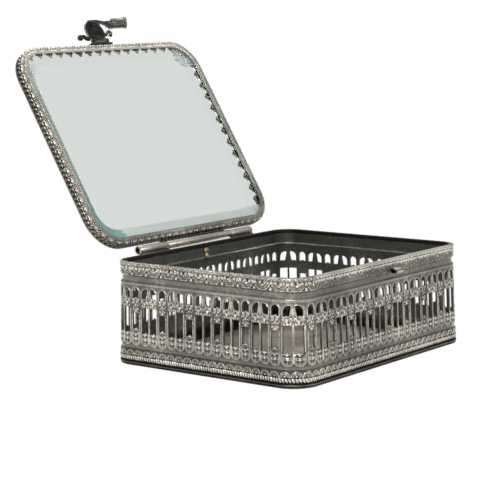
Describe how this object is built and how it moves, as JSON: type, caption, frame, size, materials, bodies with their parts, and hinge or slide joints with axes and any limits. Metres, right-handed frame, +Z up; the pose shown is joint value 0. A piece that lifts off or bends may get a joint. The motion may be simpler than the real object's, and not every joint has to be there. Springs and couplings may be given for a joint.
{
  "type": "trinket box",
  "caption": "Rounded trinket box of pierced and embossed white metal, with a hinged lid of bevelled glass and a fold-down clasp.",
  "frame": {"origin": "centre of the flat underside of the floor plate, on the surface that the box stands on", "axes": "+Z up, +Y from the front with the catch to the hinge side, +X to the right seen from the front"},
  "size_m": [0.12, 0.1674, 0.1422],
  "materials": {
    "aged_silver": "silver-plated brass, embossed, with dark tarnish in the hollows and bright worn ridges",
    "polished_silver": "worn bright silver plate",
    "floor_metal": "dull stained metal sheet",
    "dark_silver": "dark tarnished silver plate",
    "solder": "dull brass-coloured solder",
    "bevelled_glass": "clear polished bevelled glass with a faint green edge"
  },
  "bodies": {
    "box": {"base_molding": "aged_silver", "floor_plate": "floor_metal", "gallery_band": "aged_silver", "top_rim": "polished_silver", "inner_strip": "polished_silver", "seam_solder": "solder", "catch_block": "polished_silver", "hinge_leaf_left": "polished_silver", "hinge_leaf_right": "polished_silver", "hinge_pin": "dark_silver"},
    "lid": {"hinge_leaf_middle": "polished_silver", "lid_frame": "aged_silver", "lid_bezel": "aged_silver", "lid_glass": "bevelled_glass", "clasp_flange": "dark_silver", "clasp_pin": "dark_silver"},
    "clasp": {"clasp_disc": "dark_silver", "latch_bar": "dark_silver", "grip_tube": "polished_silver", "scroll_left": "dark_silver", "scroll_right": "dark_silver"}
  },
  "joints": [
    {"name": "lid_hinge", "type": "hinge", "parent": "box", "child": "lid", "pos_m": [0, 0.0518, 0.0441], "axis": [1, 0, 0], "range_deg": [0, 121]},
    {"name": "clasp_hinge", "type": "hinge", "parent": "lid", "child": "clasp", "pos_m": [-0.0012, 0.1055, 0.1317], "axis": [1, 0, 0], "range_deg": [0, 88]}
  ]
}
